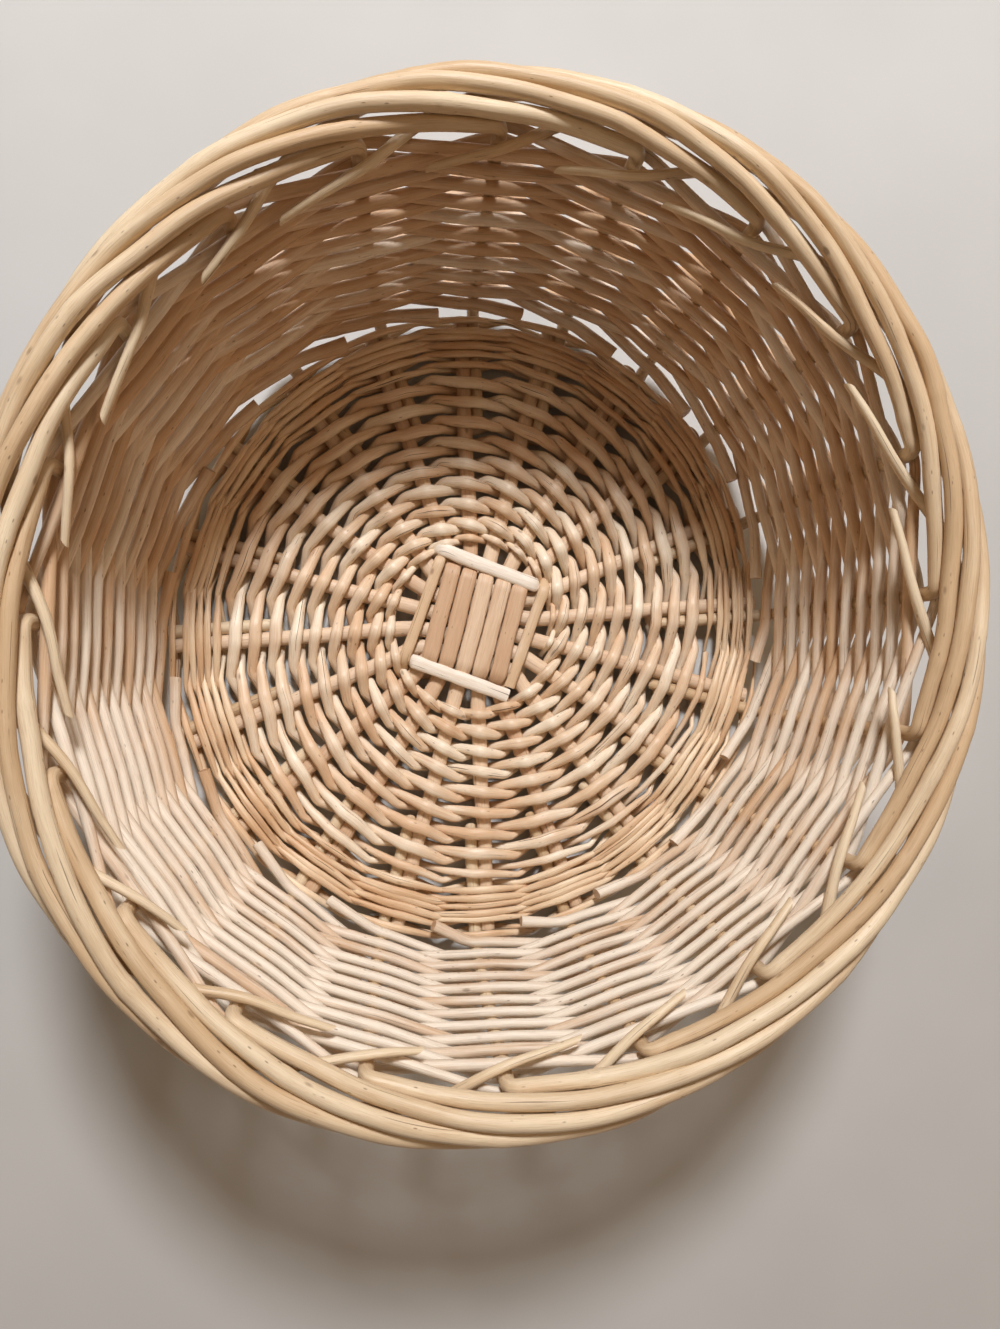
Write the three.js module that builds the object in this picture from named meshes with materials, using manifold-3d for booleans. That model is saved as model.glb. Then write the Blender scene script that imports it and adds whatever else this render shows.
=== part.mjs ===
// Round wicker bowl of peeled willow, built the way a basket maker builds it.
// Five pierced sticks and five through sticks cross in the middle of the base, two ties and two pairs of
// pairing weavers hold them, twenty stakes are pushed in beside the sticks and turn up, twenty wall weavers
// wind in and out of the stakes, and the stakes' own ends roll round into the border.
// Millimetres, +Z up, origin in the middle of the base, on the surface that the bowl stands on.

import * as THREE from 'three';
import { mergeVertices } from 'three/addons/utils/BufferGeometryUtils.js';
import Module from 'manifold-3d';

const wasm = await Module();
wasm.setup();

// Overall sizes: the rim is a little longer than it is wide
const RIM_WIDTH = 400;
const RIM_LENGTH = 424;
const BASE_DIAMETER = 330;
const CLEARANCE = 0.4;

// Base sticks
const STICKS_PER_GROUP = 5;
const STICK_WIDTH = 9;
const STICK_HEIGHT = 7;
const ARM_WIDTH = 7.2;
const STICK_GAP = 0.9;
const EYE_WEDGE = 2.5;

// Ties round the middle, the thick pairing weavers of the base, and the thin ones in a band at its edge
const TIE_DIAMETER = 3.8;
const BASE_START_DIAMETER = 99;
const BASE_TURNS = 8;
const EDGE_BAND = 29;
const EDGE_TURNS = 6;
const EDGE_CLEARANCE = 0.25;
const ROW_MARGIN = 0.5;

// Stakes: foot in the base, bend at its edge, upright, and the run along the border
const STAKE_DIAMETER = 6.8;
const FOOT_LENGTH = 56;
const BEND_RADIUS = 8.5;

// Wall: its height above the bend, and the weavers, whose thickness follows from it
const WALL_HEIGHT = 126.9;
const WEAVER_STROKES = 20;
const BUTT_LENGTH = 28;
const BUTT_INSET = 6;

// Rolled border: the stakes lie round a hollow middle and their tails come back in beneath it
const BORDER_TURN_PER_STAKE = 48;
const BORDER_ROD_GAP = 0.45;
const BORDER_LIFT = 11.2;
const TAIL_LENGTH = 30;
const KINK_ANGLE = 190;
const ROLL_END_PHASE = 5;

// Facets round each kind of round rod
const STAKE_SIDES = 5;
const WEAVER_SIDES = 5;
const TIE_SIDES = 6;

// Sizes that follow from the ones above
const MEAN_RIM_RADIUS = (RIM_WIDTH + RIM_LENGTH) / 4;
const SQUEEZE_X = RIM_WIDTH / 2 / MEAN_RIM_RADIUS;
const STRETCH_Y = RIM_LENGTH / 2 / MEAN_RIM_RADIUS;
const BASE_RADIUS = BASE_DIAMETER / 2;
const BASE_START_RADIUS = BASE_START_DIAMETER / 2;
const SPOKES = STICKS_PER_GROUP * 4;
const STEP = (2 * Math.PI) / SPOKES;
const STAKE_RADIUS = STAKE_DIAMETER / 2;
const WEAVER_DIAMETER = (WALL_HEIGHT - WEAVER_STROKES * CLEARANCE) / (WEAVER_STROKES + 0.5);
const WEAVER_RADIUS = WEAVER_DIAMETER / 2;
const TIE_RADIUS = TIE_DIAMETER / 2;

// The two spacings of the base rows, their weavers and the level of the sticks
const EDGE_RADIUS = BASE_RADIUS - EDGE_BAND;
const BASE_PITCH = (EDGE_RADIUS - BASE_START_RADIUS) / BASE_TURNS;
const EDGE_PITCH = (EDGE_BAND - BASE_PITCH / 2) / (EDGE_TURNS - 0.5 + ROW_MARGIN);
const BASE_WEAVER_SIZE = BASE_PITCH / 2 - 2 * CLEARANCE;
const EDGE_WEAVER_SIZE = EDGE_PITCH / 2 - 2 * EDGE_CLEARANCE;
const STICK_LEVEL = STICK_HEIGHT / 2 + CLEARANCE + BASE_WEAVER_SIZE;

// The wall, from the bend at the base edge up to the border
const WALL_FOOT_RADIUS = BASE_RADIUS + BEND_RADIUS;
const WALL_FOOT_Z = STICK_LEVEL + BEND_RADIUS;
const FOOT_OFFSET = -(ARM_WIDTH / 2 + CLEARANCE + STAKE_RADIUS);
const WEAVER_RISE = WEAVER_DIAMETER + CLEARANCE;
const WALL_TOP_Z = WALL_FOOT_Z + WALL_HEIGHT;

// The border's middle line, the ring of rods round it, and the kink where a stake turns along it
const BORDER_STEP = THREE.MathUtils.degToRad(BORDER_TURN_PER_STAKE);
const BORDER_ROD_SPACING = STAKE_DIAMETER + BORDER_ROD_GAP;
const BORDER_RADIUS = BORDER_ROD_SPACING / 2 / Math.sin(BORDER_STEP / 2);
const BORDER_MIDDLE = MEAN_RIM_RADIUS - BORDER_RADIUS - STAKE_RADIUS;
const BORDER_Z = WALL_TOP_Z + BORDER_LIFT;
const ROLL_START = THREE.MathUtils.degToRad(KINK_ANGLE);
const WALL_TOP_RADIUS = BORDER_MIDDLE + BORDER_RADIUS * Math.cos(ROLL_START);

const PALE_WILLOW = new THREE.MeshStandardMaterial({ color: 0xe2c59c, roughness: 0.55, metalness: 0 });
const STICK_WILLOW = new THREE.MeshStandardMaterial({ color: 0xcda77c, roughness: 0.6, metalness: 0 });
const TIE_WILLOW = new THREE.MeshStandardMaterial({ color: 0xeedcbc, roughness: 0.55, metalness: 0 });
const WALL_WILLOW = new THREE.MeshStandardMaterial({ color: 0xdfc3a6, roughness: 0.55, metalness: 0 });

// A path of straight steps through given points, with each extrusion step on one point;
// on a level path the section keeps its upright axis upright
class RodPath extends THREE.Curve {
  constructor(points, level) {
    super();
    this.points = points;
    this.level = level;
  }

  getUtoTmapping(share) {
    return share;
  }

  getPoint(share, target = new THREE.Vector3()) {
    const last = this.points.length - 1;
    const place = Math.min(Math.max(share, 0), 1) * last;
    const index = Math.min(Math.floor(place), last - 1);
    return target.copy(this.points[index]).lerp(this.points[index + 1], place - index);
  }

  getTangent(share, target = new THREE.Vector3()) {
    const last = this.points.length - 1;
    const index = Math.round(share * last);
    const here = this.points[index];
    target.set(0, 0, 0);
    if (index > 0) {
      target.add(here.clone().sub(this.points[index - 1]).normalize());
    }
    if (index < last) {
      target.add(this.points[index + 1].clone().sub(here).normalize());
    }
    return target.normalize();
  }

  computeFrenetFrames(steps, closed) {
    const frames = super.computeFrenetFrames(steps, closed);
    if (this.level) {
      frames.tangents.forEach((tangent, index) => {
        const side = new THREE.Vector3(0, 0, 1).cross(tangent).normalize();
        frames.normals[index].crossVectors(tangent, side);
        frames.binormals[index].crossVectors(tangent, frames.normals[index]);
      });
    }
    return frames;
  }
}

// Sections have their upright axis first
function roundSection(diameter, sides) {
  const corners = [];
  for (let corner = 0; corner < sides; corner += 1) {
    const turn = (corner / sides) * 2 * Math.PI;
    corners.push(new THREE.Vector2(Math.cos(turn), Math.sin(turn)).multiplyScalar(diameter / 2));
  }
  return new THREE.Shape(corners);
}

// Flat above and below, square at the sides or drawn out to an edge
function flatSection(height, width, edge) {
  const up = height / 2;
  const across = width / 2;
  const corners = [new THREE.Vector2(up, -across + edge), new THREE.Vector2(up, across - edge)];
  if (edge > 0) {
    corners.push(new THREE.Vector2(0, across));
  }
  corners.push(new THREE.Vector2(-up, across - edge), new THREE.Vector2(-up, -across + edge));
  if (edge > 0) {
    corners.push(new THREE.Vector2(0, -across));
  }
  return new THREE.Shape(corners);
}

function rodGeometry(points, section, level) {
  return new THREE.ExtrudeGeometry(section, {
    steps: points.length - 1,
    extrudePath: new RodPath(points, level),
    bevelEnabled: false,
  });
}

function roundRod(points, diameter, sides) {
  return rodGeometry(points, roundSection(diameter, sides), false);
}

function stickRod(points) {
  return rodGeometry(points, flatSection(STICK_HEIGHT, ARM_WIDTH, ARM_WIDTH / 4), true);
}

// A point at an angle, a distance out and a distance across that direction, on the slightly oval plan
function planPoint(angle, radius, across, z) {
  const x = radius * Math.cos(angle) - across * Math.sin(angle);
  const y = radius * Math.sin(angle) + across * Math.cos(angle);
  return new THREE.Vector3(x * SQUEEZE_X, y * STRETCH_Y, z);
}

const WELD_DISTANCE = 0.0001;

function toSolid(geometry) {
  const bare = geometry.clone();
  bare.deleteAttribute('normal');
  bare.deleteAttribute('uv');
  const merged = mergeVertices(bare, WELD_DISTANCE);
  return new wasm.Manifold(new wasm.Mesh({
    numProp: 3,
    vertProperties: Float32Array.from(merged.attributes.position.array),
    triVerts: Uint32Array.from(merged.index.array),
  }));
}

function fromSolid(solid) {
  const mesh = solid.getMesh();
  const geometry = new THREE.BufferGeometry();
  geometry.setAttribute('position', new THREE.BufferAttribute(Float32Array.from(mesh.vertProperties), 3));
  geometry.setIndex(new THREE.BufferAttribute(Uint32Array.from(mesh.triVerts), 1));
  geometry.computeVertexNormals();
  return geometry;
}

const bowl = new THREE.Group();
bowl.name = 'wicker_bowl';

function addPiece(name, geometry, material) {
  const piece = new THREE.Mesh(geometry, material);
  piece.name = name;
  bowl.add(piece);
}

// The middle of the base: how far the sticks lie apart, and where the eyes of the pierced ones end
const STICK_PITCH = STICK_WIDTH + STICK_GAP;
const MIDDLE_STICK = (STICKS_PER_GROUP - 1) / 2;
const EYE_HALF = (MIDDLE_STICK * STICK_PITCH * STRETCH_Y) + STICK_WIDTH / 2 + CLEARANCE;
const BLOCK_HALF = EYE_HALF + EYE_WEDGE;
const ARM_START = EYE_HALF + EYE_WEDGE / 2;
const FAN_RADIUS = BASE_START_RADIUS - BASE_PITCH / 2;

// A pierced stick: a split block that opens round the through sticks, and an arm that fans out at each end
function piercedStick(place) {
  const offset = place * STICK_PITCH * SQUEEZE_X;
  const outline = new THREE.Shape();
  const half = STICK_HEIGHT / 2;
  outline.moveTo(-BLOCK_HALF, -half);
  outline.lineTo(-EYE_HALF, -STICK_LEVEL);
  outline.lineTo(EYE_HALF, -STICK_LEVEL);
  outline.lineTo(BLOCK_HALF, -half);
  outline.lineTo(BLOCK_HALF, half);
  outline.lineTo(EYE_HALF, STICK_LEVEL);
  outline.lineTo(-EYE_HALF, STICK_LEVEL);
  outline.lineTo(-BLOCK_HALF, half);
  outline.closePath();
  const eyeHeight = half + CLEARANCE;
  const eye = new THREE.Path();
  eye.moveTo(-EYE_HALF, -eyeHeight);
  eye.lineTo(-EYE_HALF, eyeHeight);
  eye.lineTo(EYE_HALF, eyeHeight);
  eye.lineTo(EYE_HALF, -eyeHeight);
  eye.closePath();
  outline.holes.push(eye);
  const block = new THREE.ExtrudeGeometry(outline, { depth: STICK_WIDTH, bevelEnabled: false });
  block.translate(0, 0, -STICK_WIDTH / 2);
  const turned = new THREE.Matrix4().makeBasis(
    new THREE.Vector3(0, 1, 0),
    new THREE.Vector3(0, 0, 1),
    new THREE.Vector3(1, 0, 0),
  );
  block.applyMatrix4(turned);
  block.translate(offset, 0, STICK_LEVEL);
  let solid = toSolid(block);
  for (const side of [1, -1]) {
    const angle = side * (Math.PI / 2 - place * STEP);
    const inner = new THREE.Vector3(offset, side * ARM_START, STICK_LEVEL);
    const fan = planPoint(angle, FAN_RADIUS, 0, STICK_LEVEL);
    const outer = planPoint(angle, BASE_RADIUS, 0, STICK_LEVEL);
    solid = solid.add(toSolid(stickRod([inner, fan, outer])));
  }
  return fromSolid(solid);
}

// A through stick: straight in the eyes, and turned to its two spoke directions beyond them
function throughStick(place) {
  const offset = place * STICK_PITCH * STRETCH_Y;
  const points = [
    planPoint(Math.PI - place * STEP, BASE_RADIUS, 0, STICK_LEVEL),
    planPoint(Math.PI - place * STEP, FAN_RADIUS, 0, STICK_LEVEL),
    new THREE.Vector3(-ARM_START, offset, STICK_LEVEL),
    new THREE.Vector3(ARM_START, offset, STICK_LEVEL),
    planPoint(place * STEP, FAN_RADIUS, 0, STICK_LEVEL),
    planPoint(place * STEP, BASE_RADIUS, 0, STICK_LEVEL),
  ];
  return stickRod(points);
}

for (let stick = 0; stick < STICKS_PER_GROUP; stick += 1) {
  addPiece(`pierced_stick_${stick + 1}`, piercedStick(stick - MIDDLE_STICK), STICK_WILLOW);
  addPiece(`through_stick_${stick + 1}`, throughStick(stick - MIDDLE_STICK), STICK_WILLOW);
}

// A strand that goes over one bundle and under the next; it drifts outward on top and inward beneath
function strandPoints(places, drift, firstIsOnTop) {
  const points = [];
  places.forEach((place, index) => {
    const onTop = (index % 2 === 0) === firstIsOnTop;
    const sign = onTop ? 1 : -1;
    const z = STICK_LEVEL + sign * place.height;
    points.push(planPoint(place.angle, place.radius - sign * drift, -place.before, z));
    points.push(planPoint(place.angle, place.radius + sign * drift, place.after, z));
  });
  return points;
}

// Ties: two strands that cross at the corners between the four bundles of sticks
const TIE_HEIGHT = STICK_HEIGHT / 2 + CLEARANCE + TIE_RADIUS;
const TIE_DRIFT = TIE_RADIUS + 2 * CLEARANCE;
const TIE_DISTANCE = BLOCK_HALF / STRETCH_Y + TIE_DRIFT + 2 * CLEARANCE;
const TIE_HALF = TIE_DISTANCE * Math.tan(MIDDLE_STICK * STEP) + ARM_WIDTH / 2 + TIE_DRIFT;

function tie(firstIsOnTop) {
  const places = [];
  for (let side = 0; side < 4; side += 1) {
    places.push({
      angle: (side * Math.PI) / 2,
      radius: TIE_DISTANCE,
      before: TIE_HALF,
      after: TIE_HALF,
      height: TIE_HEIGHT,
    });
  }
  return roundRod(strandPoints(places, TIE_DRIFT, firstIsOnTop), TIE_DIAMETER, TIE_SIDES);
}

addPiece('slath_tie_a', tie(true), TIE_WILLOW);
addPiece('slath_tie_b', tie(false), TIE_WILLOW);

// Pairing weavers: two strands that twist once between every two sticks, in a widening spiral
const FOOT_START_RADIUS = BASE_RADIUS - FOOT_LENGTH;

function pairingWeaver(rows, firstIsOnTop) {
  const places = [];
  for (let crossing = rows.first; crossing <= rows.turns * SPOKES; crossing += 1) {
    const turn = crossing / SPOKES;
    const radius = rows.start + rows.firstPitch * Math.min(turn, 1) + rows.pitch * Math.max(turn - 1, 0);
    const reach = Math.min((ARM_WIDTH + rows.size) / 2, (radius * STEP) / 4);
    const besideFoot = radius + rows.pitch / 2 > FOOT_START_RADIUS;
    places.push({
      angle: crossing * STEP,
      radius,
      before: reach + (besideFoot ? STAKE_DIAMETER + CLEARANCE : 0),
      after: reach,
      height: STICK_HEIGHT / 2 + CLEARANCE + rows.size / 2,
    });
  }
  const points = strandPoints(places, rows.pitch / 4, firstIsOnTop);
  return rodGeometry(points, flatSection(rows.size, rows.size, 0), true);
}

const BASE_ROWS = {
  first: 0,
  start: BASE_START_RADIUS,
  firstPitch: BASE_PITCH,
  pitch: BASE_PITCH,
  turns: BASE_TURNS,
  size: BASE_WEAVER_SIZE,
};

// The thin rods go on where the thick ones end, one stick further round
const EDGE_ROWS = {
  first: 1,
  start: EDGE_RADIUS,
  firstPitch: (BASE_PITCH + EDGE_PITCH) / 2,
  pitch: EDGE_PITCH,
  turns: EDGE_TURNS,
  size: EDGE_WEAVER_SIZE,
};

addPiece('base_weaver_a', pairingWeaver(BASE_ROWS, true), PALE_WILLOW);
addPiece('base_weaver_b', pairingWeaver(BASE_ROWS, false), PALE_WILLOW);
addPiece('edge_weaver_a', pairingWeaver(EDGE_ROWS, true), PALE_WILLOW);
addPiece('edge_weaver_b', pairingWeaver(EDGE_ROWS, false), PALE_WILLOW);

// The wall's middle line flares near the base and comes upright under the border's inner edge
function wallRadius(z) {
  const share = Math.min(Math.max((z - WALL_FOOT_Z) / (WALL_TOP_Z - WALL_FOOT_Z), 0), 1);
  return WALL_FOOT_RADIUS + (WALL_TOP_RADIUS - WALL_FOOT_RADIUS) * share * (2 - share);
}

// A point of the border: steps round the bowl from the stake's own place, out from the middle line, and up
function borderPoint(stake, phase, out, up) {
  return planPoint((stake + phase) * STEP, BORDER_MIDDLE + out, FOOT_OFFSET, BORDER_Z + up);
}

const BEND_STEPS = 3;
const UPRIGHT_STEPS = 3;
const TAIL_PHASE = TAIL_LENGTH / (BORDER_MIDDLE * STEP);
const UNDERPASS_DROP = BORDER_LIFT - STAKE_RADIUS - CLEARANCE * 2;
const INSIDE_PHASE = ROLL_END_PHASE + 1;
const INSIDE_RADIUS = WALL_TOP_RADIUS - STAKE_DIAMETER - CLEARANCE * 3;
const TAIL_RADIUS = WALL_TOP_RADIUS - STAKE_DIAMETER - WEAVER_DIAMETER - CLEARANCE * 2;

function stakePoints(stake) {
  const angle = stake * STEP;
  const points = [planPoint(angle, FOOT_START_RADIUS, FOOT_OFFSET, STICK_LEVEL)];
  for (let step = 0; step <= BEND_STEPS; step += 1) {
    const turn = (step / BEND_STEPS) * (Math.PI / 2);
    const radius = BASE_RADIUS + BEND_RADIUS * Math.sin(turn);
    points.push(planPoint(angle, radius, FOOT_OFFSET, STICK_LEVEL + BEND_RADIUS * (1 - Math.cos(turn))));
  }
  for (let step = 1; step <= UPRIGHT_STEPS; step += 1) {
    const z = WALL_FOOT_Z + (WALL_TOP_Z - WALL_FOOT_Z) * (step / UPRIGHT_STEPS);
    points.push(planPoint(angle, wallRadius(z), FOOT_OFFSET, z));
  }
  for (let half = 0; half <= ROLL_END_PHASE * 2; half += 1) {
    const turn = ROLL_START - (half / 2) * BORDER_STEP;
    const out = BORDER_RADIUS * Math.cos(turn);
    const up = BORDER_RADIUS * Math.sin(turn);
    points.push(borderPoint(stake, half / 2, out, up));
  }
  points.push(borderPoint(stake, INSIDE_PHASE, INSIDE_RADIUS - BORDER_MIDDLE, -UNDERPASS_DROP));
  points.push(borderPoint(stake, INSIDE_PHASE + TAIL_PHASE, TAIL_RADIUS - BORDER_MIDDLE, -UNDERPASS_DROP));
  return points;
}

// A wall weaver: its butt rests on the edge of the base, it lies straight along the inside of its first stake,
// crosses to the outside of the next, and so on, one rod higher at each
function weaverPoints(first) {
  const touch = STAKE_RADIUS + WEAVER_RADIUS + CLEARANCE;
  const buttRadius = WALL_FOOT_RADIUS - touch - BUTT_INSET;
  const points = [planPoint(first * STEP, buttRadius, FOOT_OFFSET - BUTT_LENGTH, WALL_FOOT_Z)];
  for (let stroke = 0; stroke <= WEAVER_STROKES; stroke += 1) {
    const z = WALL_FOOT_Z + stroke * WEAVER_RISE;
    const radius = wallRadius(z) + (stroke % 2 === 0 ? -touch : touch);
    const straight = (radius * STEP) / 4;
    const before = stroke === 0 ? 0 : straight;
    const slope = WEAVER_RISE / (radius * STEP);
    const angle = (first + stroke) * STEP;
    points.push(planPoint(angle, radius, FOOT_OFFSET - before, z - slope * before));
    points.push(planPoint(angle, radius, FOOT_OFFSET + straight, z + slope * straight));
  }
  return points;
}

for (let stake = 0; stake < SPOKES; stake += 1) {
  const number = String(stake + 1).padStart(2, '0');
  const stakeRod = roundRod(stakePoints(stake), STAKE_DIAMETER, STAKE_SIDES);
  const weaverRod = roundRod(weaverPoints(stake), WEAVER_DIAMETER, WEAVER_SIDES);
  addPiece(`stake_${number}`, stakeRod, PALE_WILLOW);
  addPiece(`wall_weaver_${number}`, weaverRod, WALL_WILLOW);
}

export default bowl;
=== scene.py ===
"""Looks of the round wicker bowl: every willow rod is modelled as a rod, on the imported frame.

Sizes are in millimetres, in the frame of the CAD part, and turn to metres where a mesh is made.
"""

import math

import bpy
import numpy as np
from mathutils import Matrix, Vector


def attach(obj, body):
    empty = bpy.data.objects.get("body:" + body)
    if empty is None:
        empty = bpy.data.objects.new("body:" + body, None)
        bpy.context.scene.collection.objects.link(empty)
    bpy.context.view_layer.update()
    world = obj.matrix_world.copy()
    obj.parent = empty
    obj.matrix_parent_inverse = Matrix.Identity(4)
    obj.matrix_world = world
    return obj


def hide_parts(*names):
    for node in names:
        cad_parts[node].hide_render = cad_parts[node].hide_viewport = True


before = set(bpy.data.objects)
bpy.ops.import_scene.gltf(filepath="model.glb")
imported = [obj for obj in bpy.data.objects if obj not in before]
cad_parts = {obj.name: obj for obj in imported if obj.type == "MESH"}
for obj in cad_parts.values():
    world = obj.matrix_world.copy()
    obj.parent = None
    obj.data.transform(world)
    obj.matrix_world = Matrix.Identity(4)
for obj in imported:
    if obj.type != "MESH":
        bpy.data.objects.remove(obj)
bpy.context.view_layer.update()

METRES = 0.001

# Plan: the rim is a little longer than wide
RIM_WIDTH = 400.0
RIM_LENGTH = 424.0
MEAN_RIM_RADIUS = (RIM_WIDTH + RIM_LENGTH) / 4
SQUEEZE_X = RIM_WIDTH / 2 / MEAN_RIM_RADIUS
STRETCH_Y = RIM_LENGTH / 2 / MEAN_RIM_RADIUS
SPOKES = 20
STEP = 2 * math.pi / SPOKES

# Base, as in the CAD part
BASE_RADIUS = 165.0
STICKS_PER_GROUP = 5
STICK_WIDTH = 9.0
STICK_HEIGHT = 7.0
ARM_WIDTH = 7.2
STICK_PITCH = 9.9
EYE_WEDGE = 2.5
CLEARANCE = 0.4
BASE_START_RADIUS = 49.5
BASE_TURNS = 8
EDGE_BAND = 29.0
EDGE_TURNS = 6
ROW_MARGIN = 0.5
EDGE_RADIUS = BASE_RADIUS - EDGE_BAND
BASE_PITCH = (EDGE_RADIUS - BASE_START_RADIUS) / BASE_TURNS
EDGE_PITCH = (EDGE_BAND - BASE_PITCH / 2) / (EDGE_TURNS - 0.5 + ROW_MARGIN)
STICK_LEVEL = STICK_HEIGHT / 2 + CLEARANCE + BASE_PITCH / 2 - 2 * CLEARANCE

# Stakes, wall and border, as in the CAD part
STAKE_DIAMETER = 6.8
STAKE_RADIUS = STAKE_DIAMETER / 2
FOOT_LENGTH = 56.0
FOOT_START_RADIUS = BASE_RADIUS - FOOT_LENGTH
FOOT_OFFSET = -(ARM_WIDTH / 2 + CLEARANCE + STAKE_RADIUS)
BEND_RADIUS = 8.5
WALL_FOOT_RADIUS = BASE_RADIUS + BEND_RADIUS
WALL_FOOT_Z = STICK_LEVEL + BEND_RADIUS
WEAVER_DIAMETER = 5.8
WEAVER_STROKES = 20
WEAVER_RISE = WEAVER_DIAMETER + CLEARANCE
WALL_TOP_Z = WALL_FOOT_Z + WEAVER_STROKES * WEAVER_RISE + WEAVER_DIAMETER / 2
BORDER_STEP = math.radians(48)
BORDER_GAP = 0.45
BORDER_RADIUS = (STAKE_DIAMETER + BORDER_GAP) / 2 / math.sin(BORDER_STEP / 2)
BORDER_MIDDLE = MEAN_RIM_RADIUS - BORDER_RADIUS - STAKE_RADIUS
BORDER_LIFT = 11.2
BORDER_Z = WALL_TOP_Z + BORDER_LIFT
ROLL_START = math.radians(190)
WALL_TOP_RADIUS = BORDER_MIDDLE + BORDER_RADIUS * math.cos(ROLL_START)
ROLL_END_PHASE = 5
UNDERPASS_DROP = BORDER_LIFT - STAKE_RADIUS - CLEARANCE * 2
INSIDE_PHASE = ROLL_END_PHASE + 1
INSIDE_RADIUS = WALL_TOP_RADIUS - STAKE_DIAMETER - CLEARANCE * 3
TAIL_RADIUS = WALL_TOP_RADIUS - STAKE_DIAMETER - WEAVER_DIAMETER - CLEARANCE * 2
TAIL_LENGTH = 30.0
TAIL_PHASE = TAIL_LENGTH / (BORDER_MIDDLE * STEP)


# Paths


def plan(angle, radius, across, z):
    """Points at an angle, a distance out and a distance across that, on the oval plan."""
    angle, radius, across, z = np.broadcast_arrays(angle, radius, across, z)
    x = radius * np.cos(angle) - across * np.sin(angle)
    y = radius * np.sin(angle) + across * np.cos(angle)
    return np.stack([x * SQUEEZE_X, y * STRETCH_Y, z], axis=-1).astype(float)


def wall_radius(z):
    """Radius of the wall's stakes at a height: the wall leans out, less so towards the top."""
    share = np.clip((z - WALL_FOOT_Z) / (WALL_TOP_Z - WALL_FOOT_Z), 0, 1)
    return WALL_FOOT_RADIUS + (WALL_TOP_RADIUS - WALL_FOOT_RADIUS) * share * (2 - share)


def lengths(path):
    """Length along a path at each of its points."""
    steps = np.linalg.norm(np.diff(path, axis=0), axis=1)
    return np.concatenate([[0.0], np.cumsum(steps)])


def even(path, spacing):
    """The same path with points at an even spacing."""
    along = lengths(path)
    count = max(int(round(along[-1] / spacing)), 2)
    places = np.linspace(0, along[-1], count + 1)
    return np.stack([np.interp(places, along, path[:, axis]) for axis in range(3)], axis=1)


def curve(points, spacing, fine=12):
    """A smooth path through points (centripetal Catmull-Rom), at an even spacing."""
    points = np.asarray(points, float)
    ends = [2 * points[0] - points[1], 2 * points[-1] - points[-2]]
    held = np.vstack([ends[:1], points, ends[1:]])
    chords = np.linalg.norm(np.diff(held, axis=0), axis=1)
    knots = np.concatenate([[0.0], np.cumsum(chords**0.5)])
    path = []
    for index in range(1, len(held) - 2):
        t0, t1, t2, t3 = knots[index - 1 : index + 3]
        p0, p1, p2, p3 = held[index - 1 : index + 3]
        t = np.linspace(t1, t2, fine, endpoint=False)[:, None]
        a1 = (t1 - t) / (t1 - t0) * p0 + (t - t0) / (t1 - t0) * p1
        a2 = (t2 - t) / (t2 - t1) * p1 + (t - t1) / (t2 - t1) * p2
        a3 = (t3 - t) / (t3 - t2) * p2 + (t - t2) / (t3 - t2) * p3
        b1 = (t2 - t) / (t2 - t0) * a1 + (t - t0) / (t2 - t0) * a2
        b2 = (t3 - t) / (t3 - t1) * a2 + (t - t1) / (t3 - t1) * a3
        path.append((t2 - t) / (t2 - t1) * b1 + (t - t1) / (t2 - t1) * b2)
    path.append(points[-1:])
    return even(np.vstack(path), spacing)


def rounded(points, spacing, reach):
    """Straight lines through points, with the corners rounded over a reach to each side."""
    path = even(np.asarray(points, float), spacing)
    count = max(int(round(reach / spacing)), 1)
    weights = np.concatenate([np.arange(1, count + 1), np.arange(count + 1, 0, -1)])
    weights = weights / weights.sum()
    held = np.pad(path, ((count, count), (0, 0)), mode="reflect", reflect_type="odd")
    axes = [np.convolve(held[:, axis], weights, mode="valid") for axis in range(3)]
    return np.stack(axes, axis=1)


# Unevenness of a rod: three sine waves of random length and phase, and buds at random places
WAVES = 3
WAVE_STEP = 0.9
WAVE_STRETCH = (0.8, 1.25)
WAVE_SUM = 1.5
FIRST_BUD = (10, 80)
BUD_SPACING = (45, 120)
BUD_SIZES = (0.4, 1.0)
BUD_LENGTH = 2.8


def waver(rng, along, wavelength, size):
    """Smooth random values along a rod, with about one swing per wavelength."""
    values = np.zeros_like(along)
    for number in range(WAVES):
        wave = wavelength / (1 + WAVE_STEP * number) * rng.uniform(*WAVE_STRETCH)
        phase = rng.uniform(0, 2 * math.pi)
        values += np.sin(2 * math.pi * along / wave + phase) / (1 + number)
    return values * size / WAVE_SUM


def buds(rng, along, size):
    """Small swellings of a rod where its leaves grew, every few centimetres."""
    values = np.zeros_like(along)
    place = rng.uniform(*FIRST_BUD)
    while place < along[-1]:
        bud = np.exp(-(((along - place) / BUD_LENGTH) ** 2))
        values += size * rng.uniform(*BUD_SIZES) * bud
        place += rng.uniform(*BUD_SPACING)
    return values


def tapered(share, distance, length):
    """Share of a rod's thickness near its end, which grows by the whole in a length."""
    return np.clip(share + distance / length, 0, 1)


def axes_of(path, level):
    """Tangent, upright and side directions; a level rod keeps its upright axis upright."""
    tangent = np.gradient(path, axis=0)
    tangent /= np.linalg.norm(tangent, axis=1)[:, None]
    up = np.array([0.0, 0.0, 1.0])
    if level:
        side = np.cross(up, tangent)
        side /= np.linalg.norm(side, axis=1)[:, None]
        return tangent, np.cross(tangent, side), side
    steep = abs(tangent[0, 2]) >= 0.9
    last = np.array([1.0, 0.0, 0.0]) if steep else up
    upright = np.zeros_like(path)
    for index, direction in enumerate(tangent):
        last = last - direction * last.dot(direction)
        last /= np.linalg.norm(last)
        upright[index] = last
    return tangent, upright, np.cross(upright, tangent)


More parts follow.
